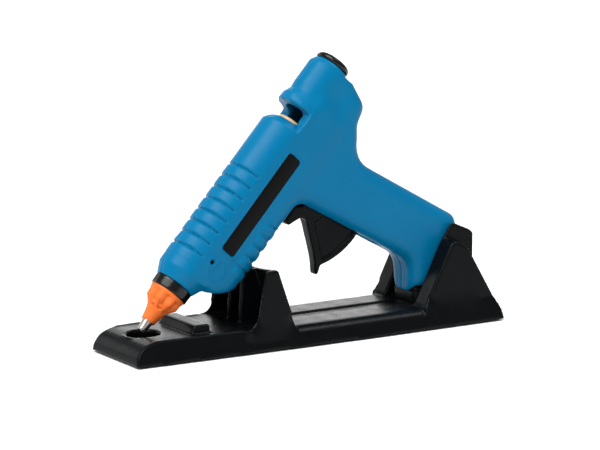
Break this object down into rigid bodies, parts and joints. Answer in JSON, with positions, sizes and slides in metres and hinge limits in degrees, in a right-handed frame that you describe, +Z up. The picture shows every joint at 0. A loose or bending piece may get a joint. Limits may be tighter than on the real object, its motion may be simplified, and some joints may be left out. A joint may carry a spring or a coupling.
{
  "type": "glue gun",
  "caption": "Pistol-shaped hot glue gun tilted nose-down in a long heating dock, with a sprung trigger, stick feed, finned nozzle sleeve and drip well.",
  "frame": {"origin": "middle of the dock's footprint, on the table", "axes": "+X along the dock from the nozzle to the handle, +Y to the gun's right-hand side, +Z up"},
  "size_m": [0.25, 0.0642, 0.1665],
  "materials": {
    "shell": "satin",
    "shell_dark": "fine texture",
    "collar": "satin",
    "sleeve": "satin silicone",
    "tip": "turned",
    "steel": "turned",
    "chamber": "cast",
    "ceramic": null,
    "cream": "heat resistant plastic",
    "silicone": "silicone",
    "nylon": "natural",
    "badge": "fine texture",
    "brass": "plated",
    "lead": "insulation",
    "foot": "matt"
  },
  "bodies": {
    "dock": {"dock_shell": "shell_dark", "dock_base": "shell_dark", "dock_feet": "foot", "dock_screws": "steel", "contact_carrier": "nylon", "dock_contacts": "brass", "power_inlet": "collar", "dock_leads": "lead"},
    "gun": {"housing_left": "shell", "housing_right": "shell", "housing_screws": "steel", "nose_collar": "collar", "nozzle_sleeve": "sleeve", "nozzle_tip": "tip", "valve_spring": "steel", "melt_chamber": "chamber", "ptc_heater": "ceramic", "electrode_plates": "brass", "heater_clip": "steel", "chamber_support": "ceramic", "inlet_sleeve": "silicone", "sleeve_clamp": "steel", "thermal_fuse": "steel", "stick_guide": "cream", "rear_cap": "collar", "guide_rods": "steel", "return_springs": "steel", "trigger_pin": "steel", "badge_left": "badge", "badge_right": "badge", "handle_base_cap": "shell_dark", "gun_contacts": "brass", "heater_leads": "lead"},
    "trigger": {"trigger": "shell_dark"},
    "carriage": {"feed_carriage": "nylon", "feed_pin": "steel", "jaw_pin": "steel"},
    "jaw": {"gripper_jaw": "steel"},
    "valve": {"valve_ball": "steel"}
  },
  "joints": [
    {"name": "gun_lift", "type": "slide", "parent": "dock", "child": "gun", "axis": [0, 0, 1], "range_m": [0, 0.06]},
    {"name": "trigger_pull", "type": "hinge", "parent": "gun", "child": "trigger", "pos_m": [0.0002, 0, 0.087], "axis": [0, -1, 0], "range_deg": [0, 28], "stiffness_Nm_per_rad": 0.12, "springref_deg": -5.73},
    {"name": "carriage_feed", "type": "slide", "parent": "gun", "child": "carriage", "axis": [-0.6691, 0, -0.7431], "range_m": [0, 0.0096], "stiffness_N_per_m": 45, "springref_m": -0.001, "deforming": ["return_springs"]},
    {"name": "jaw_grip", "type": "hinge", "parent": "carriage", "child": "jaw", "pos_m": [-0.02486, 0, 0.1194], "axis": [0, -1, 0], "range_deg": [0, 9.2]},
    {"name": "valve_travel", "type": "slide", "parent": "gun", "child": "valve", "axis": [-0.6691, 0, -0.7431], "range_m": [0, 0.0015], "stiffness_N_per_m": 60, "deforming": ["valve_spring"]}
  ],
  "couplings": [
    {"joint": "carriage_feed", "follows": "trigger_pull", "m_per_rad": 0.019289},
    {"joint": "jaw_grip", "follows": "trigger_pull", "ratio": 0.32143}
  ]
}
